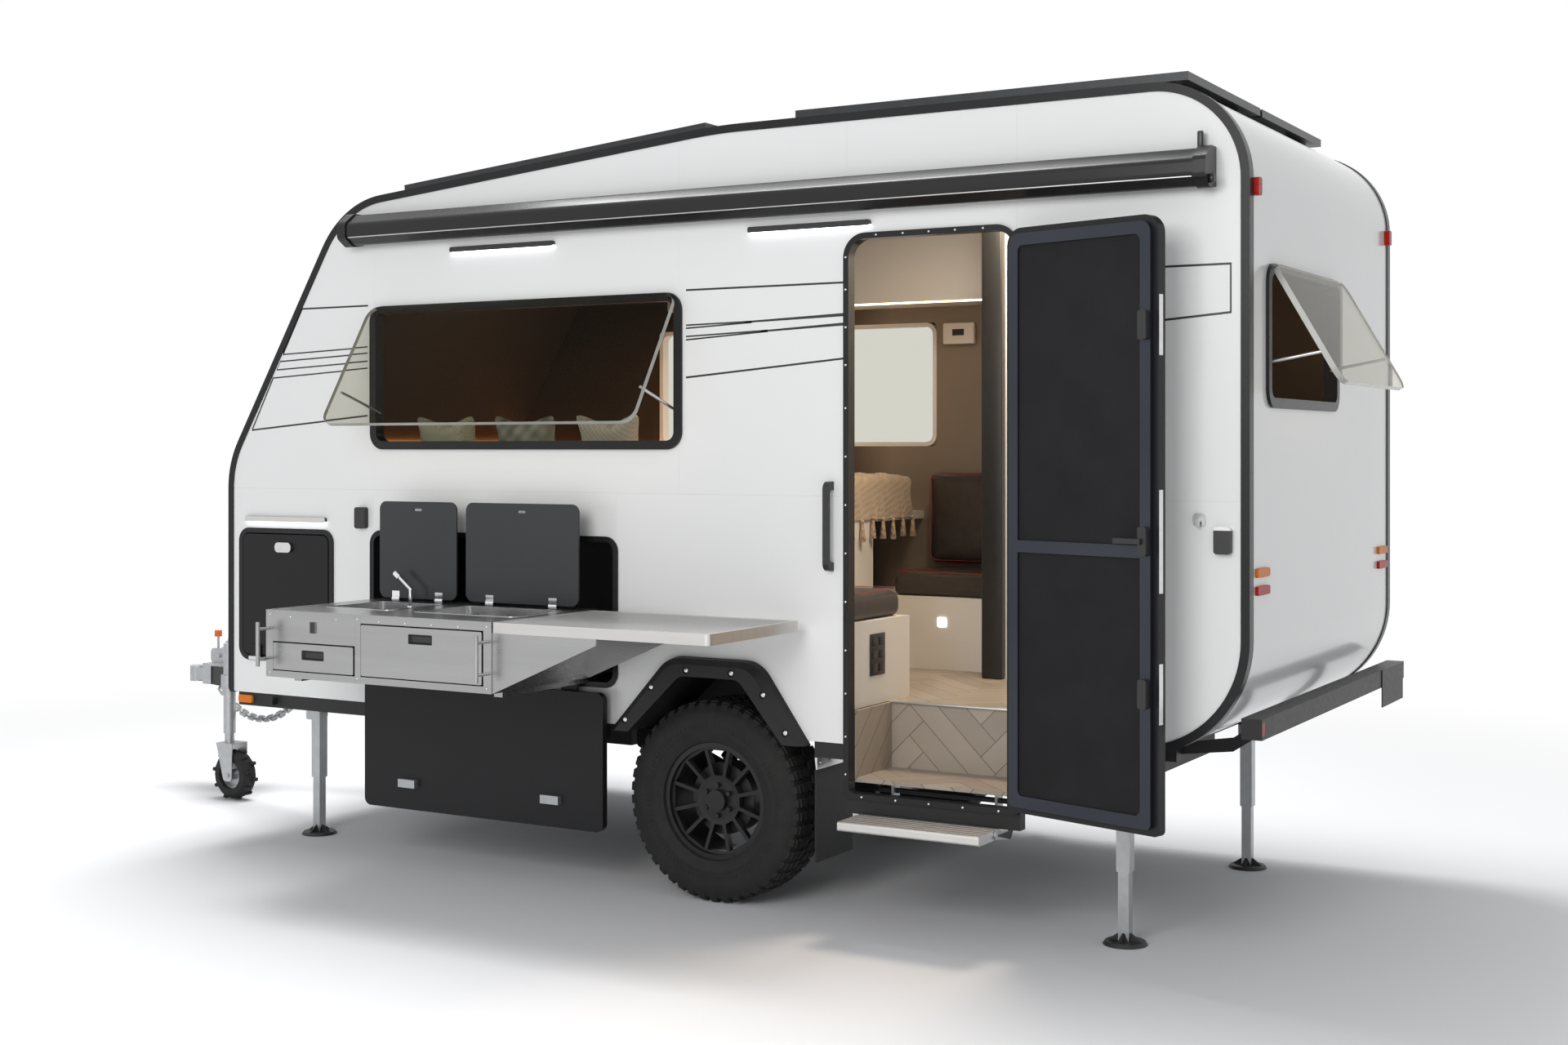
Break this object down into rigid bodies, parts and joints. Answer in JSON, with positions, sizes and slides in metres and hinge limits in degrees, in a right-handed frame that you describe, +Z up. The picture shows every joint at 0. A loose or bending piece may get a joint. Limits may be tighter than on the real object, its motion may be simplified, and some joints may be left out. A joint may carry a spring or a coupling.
{
  "type": "off-road camper trailer",
  "caption": "Hard-walled off-road camper trailer on one axle, parked on legs and jockey wheel, with an open entry door, slide-out kitchen, boot hatches and folding step.",
  "frame": {"origin": "on the floor, under the middle of the parked trailer's bounding box", "axes": "+X forward to the tow coupling, +Y to the door side, +Z up"},
  "size_m": [6.2691, 2.804, 3.071],
  "materials": {
    "shell": "satin",
    "floor": "satin",
    "black_plastic": "satin",
    "black_steel": "satin",
    "smoked_acrylic": "gloss",
    "door_skin": "satin",
    "step_alloy": "satin",
    "galvanised": "satin",
    "tyre": "matte",
    "alloy_wheel": "satin",
    "stainless": "satin",
    "lid_glass": "gloss",
    "chrome": "gloss",
    "worktop": "satin",
    "white_lens": "gloss",
    "red_lens": "gloss",
    "amber_lens": "gloss",
    "solar": "satin",
    "furniture": "satin",
    "upholstery": "satin",
    "bedding": "matte",
    "tank": "matte",
    "rubber": "matte"
  },
  "bodies": {
    "trailer": {"amber_lamps": "amber_lens", "awning": "black_plastic", "bench_fittings": "stainless", "brackets": "galvanised", "cabinets": "furniture", "chassis_rails": "black_steel", "coupling": "galvanised", "crossmembers": "black_steel", "cushions": "upholstery", "door_frame": "black_plastic", "drawbar": "black_steel", "edge_trims": "black_plastic", "floor_panel": "floor", "front_panel": "shell", "jockey_clamp": "galvanised", "kitchen_carcass": "stainless", "kitchen_front": "stainless", "kitchen_hatch": "black_plastic", "lamp_strips": "white_lens", "mattress": "bedding", "rear_bumper": "black_steel", "rear_panel": "shell", "red_lamps": "red_lens", "roof_panel": "shell", "safety_chains": "galvanised", "side_table": "worktop", "side_wall_left": "shell", "side_wall_right": "shell", "solar_panels": "solar", "step_well": "black_steel", "storage_liners": "black_plastic", "table_gussets": "stainless", "trailing_arms": "black_steel", "wall_fittings": "black_plastic", "wall_frames": "black_plastic", "water_tanks": "tank", "wheel_arches": "black_plastic", "window_panes": "smoked_acrylic"},
    "wheel_left": {"tyre_left": "tyre", "rim_left": "alloy_wheel"},
    "wheel_right": {"tyre_right": "tyre", "rim_right": "alloy_wheel"},
    "jockey_swivel": {"jockey_leg": "galvanised"},
    "jockey_wheel": {"jockey_tyre": "rubber", "jockey_rim": "galvanised"},
    "door": {"entry_door": "door_skin", "door_screen": "black_steel"},
    "hatch_left": {"boot_hatch_left": "black_plastic"},
    "hatch_right": {"boot_hatch_right": "black_plastic"},
    "lid_sink": {"sink_lid": "lid_glass"},
    "lid_hob": {"hob_lid": "lid_glass"},
    "tap_arm": {"tap": "chrome"},
    "small_drawer": {"drawer_small": "stainless"},
    "large_drawer": {"drawer_large": "stainless"},
    "step_linkage": {"step_arms": "step_alloy"},
    "step": {"step_tread": "step_alloy"},
    "front_left_leg": {"leg_front_left": "galvanised"},
    "front_right_leg": {"leg_front_right": "galvanised"},
    "rear_left_leg": {"leg_rear_left": "galvanised"},
    "rear_right_leg": {"leg_rear_right": "galvanised"}
  },
  "joints": [
    {"name": "wheel_left_spin", "type": "hinge", "parent": "trailer", "child": "wheel_left", "pos_m": [-0.74, 0.4835, 0.395], "axis": [0, 1, 0], "continuous": true},
    {"name": "wheel_right_spin", "type": "hinge", "parent": "trailer", "child": "wheel_right", "pos_m": [-0.74, -1.1955, 0.395], "axis": [0, 1, 0], "continuous": true},
    {"name": "jockey_swivel_turn", "type": "hinge", "parent": "trailer", "child": "jockey_swivel", "pos_m": [2.59, -0.094, 0.285], "axis": [0, 0, 1], "continuous": true},
    {"name": "jockey_wheel_spin", "type": "hinge", "parent": "jockey_swivel", "child": "jockey_wheel", "pos_m": [2.55, -0.094, 0.125], "axis": [0, 1, 0], "continuous": true},
    {"name": "door_swing", "type": "hinge", "parent": "trailer", "child": "door", "pos_m": [-2.03, 0.6553, 1.5], "axis": [0, 0, -1], "range_deg": [-13, 163]},
    {"name": "hatch_left_drop", "type": "hinge", "parent": "trailer", "child": "hatch_left", "pos_m": [1.4815, 0.6513, 0.831], "axis": [-1, 0, 0], "range_deg": [0, 170]},
    {"name": "hatch_right_drop", "type": "hinge", "parent": "trailer", "child": "hatch_right", "pos_m": [1.4815, -1.3633, 0.831], "axis": [1, 0, 0], "range_deg": [0, 170]},
    {"name": "lid_sink_close", "type": "hinge", "parent": "trailer", "child": "lid_sink", "pos_m": [0.6125, 0.756, 1.139], "axis": [-1, 0, 0], "range_deg": [0, 90]},
    {"name": "lid_hob_close", "type": "hinge", "parent": "trailer", "child": "lid_hob", "pos_m": [0.07, 0.756, 1.139], "axis": [-1, 0, 0], "range_deg": [0, 90]},
    {"name": "tap_fold", "type": "hinge", "parent": "trailer", "child": "tap_arm", "pos_m": [0.606, 0.811, 1.112], "axis": [-1, 0, 0], "range_deg": [0, 90]},
    {"name": "small_drawer_pull", "type": "slide", "parent": "trailer", "child": "small_drawer", "axis": [0, 1, 0], "range_m": [0, 0.34]},
    {"name": "large_drawer_pull", "type": "slide", "parent": "trailer", "child": "large_drawer", "axis": [0, 1, 0], "range_m": [0, 0.34]},
    {"name": "step_fold", "type": "hinge", "parent": "trailer", "child": "step_linkage", "pos_m": [-1.695, 0.494, 0.49], "axis": [-1, 0, 0], "range_deg": [0, 125]},
    {"name": "step_level", "type": "hinge", "parent": "step_linkage", "child": "step", "pos_m": [-1.695, 0.684, 0.403], "axis": [-1, 0, 0], "range_deg": [-125, 0]},
    {"name": "front_left_leg_fold", "type": "hinge", "parent": "trailer", "child": "front_left_leg", "pos_m": [1.56, 0.344, 0.588], "axis": [0, 1, 0], "range_deg": [0, 90]},
    {"name": "front_right_leg_fold", "type": "hinge", "parent": "trailer", "child": "front_right_leg", "pos_m": [1.56, -1.056, 0.588], "axis": [0, 1, 0], "range_deg": [0, 90]},
    {"name": "rear_left_leg_fold", "type": "hinge", "parent": "trailer", "child": "rear_left_leg", "pos_m": [-2.345, 0.379, 0.588], "axis": [0, 1, 0], "range_deg": [0, 90]},
    {"name": "rear_right_leg_fold", "type": "hinge", "parent": "trailer", "child": "rear_right_leg", "pos_m": [-2.345, -1.091, 0.588], "axis": [0, 1, 0], "range_deg": [0, 90]}
  ],
  "couplings": [
    {"joint": "step_level", "follows": "step_fold", "ratio": -1},
    {"joint": "tap_fold", "follows": "lid_sink_close", "ratio": 1}
  ]
}
